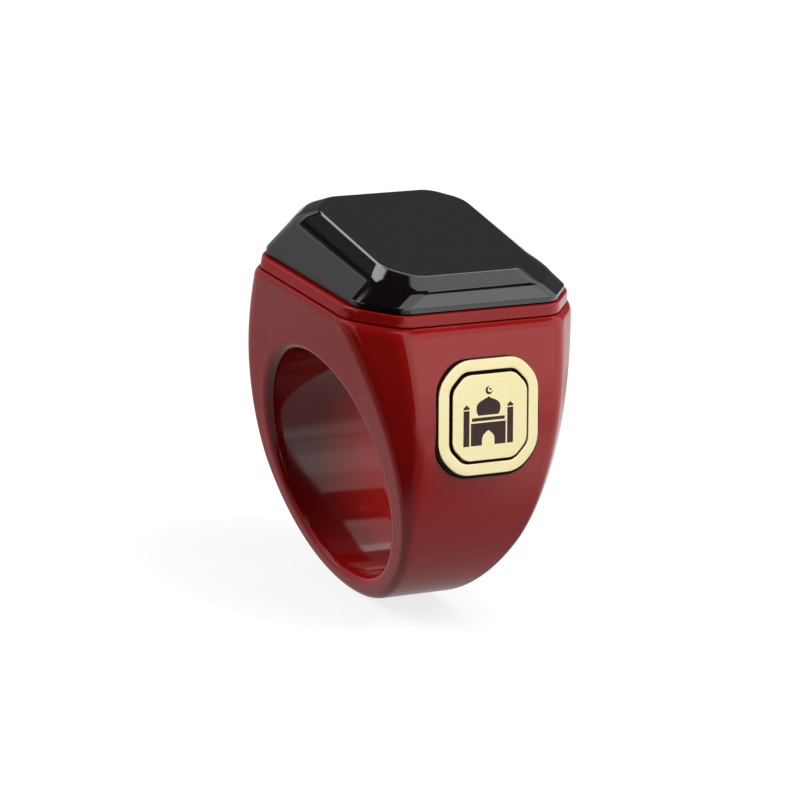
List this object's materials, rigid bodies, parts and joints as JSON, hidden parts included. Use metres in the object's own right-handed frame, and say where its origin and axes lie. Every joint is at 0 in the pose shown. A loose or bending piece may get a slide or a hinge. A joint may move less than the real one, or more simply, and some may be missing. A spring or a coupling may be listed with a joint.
{
  "type": "smart counter ring",
  "caption": "Finger ring with a faceted black display head on a red band that narrows below, and a gold push button in a bezel on its side.",
  "frame": {"origin": "centre of the finger bore", "axes": "+Z out through the display head, +Y along the finger, +X towards the side with the push button"},
  "size_m": [0.0284, 0.0228, 0.0336],
  "materials": {
    "red_shell": "high gloss moulded resin",
    "black_window": "piano black, polished",
    "gold": "satin gold plating",
    "black_rubber": "matt silicone",
    "panel_glass": "dark cover glass",
    "dark_plastic": "moulded, matt",
    "board_green": "solder mask",
    "flex_amber": "polyimide film",
    "chip_black": "moulded epoxy",
    "steel": "plain steel",
    "ceramic": "fired ceramic",
    "pouch_silver": "laminated foil",
    "foam": "closed-cell foam"
  },
  "bodies": {
    "ring": {"ring_body": "red_shell", "rim_frame": "red_shell", "display_window": "black_window", "window_gasket": "black_rubber", "button_seal": "black_rubber", "display_panel": "panel_glass", "display_carrier": "dark_plastic", "charge_pad": "dark_plastic", "main_board": "board_green", "switch_board": "board_green", "display_flex": "flex_amber", "charge_flex": "flex_amber", "switch_flex": "flex_amber", "controller_chip": "chip_black", "flash_memory": "chip_black", "motion_sensor": "chip_black", "charger_chip": "chip_black", "switch_body": "chip_black", "timing_crystal": "steel", "chip_antenna": "ceramic", "display_connector": "ceramic", "capacitor_1": "ceramic", "capacitor_2": "ceramic", "capacitor_3": "ceramic", "capacitor_4": "ceramic", "battery_pouch": "pouch_silver", "battery_pad": "foam", "battery_tab_front": "steel", "battery_tab_rear": "steel", "vibration_motor": "steel", "switch_dome": "steel", "charge_contact_1": "gold", "charge_contact_2": "gold", "button_bezel": "gold"},
    "button": {"button_cap": "gold", "button_plunger": "dark_plastic"}
  },
  "joints": [
    {"name": "button_press", "type": "slide", "parent": "ring", "child": "button", "axis": [-0.9848, 0, -0.1736], "range_m": [0, 0.0003], "stiffness_N_per_m": 3000}
  ]
}
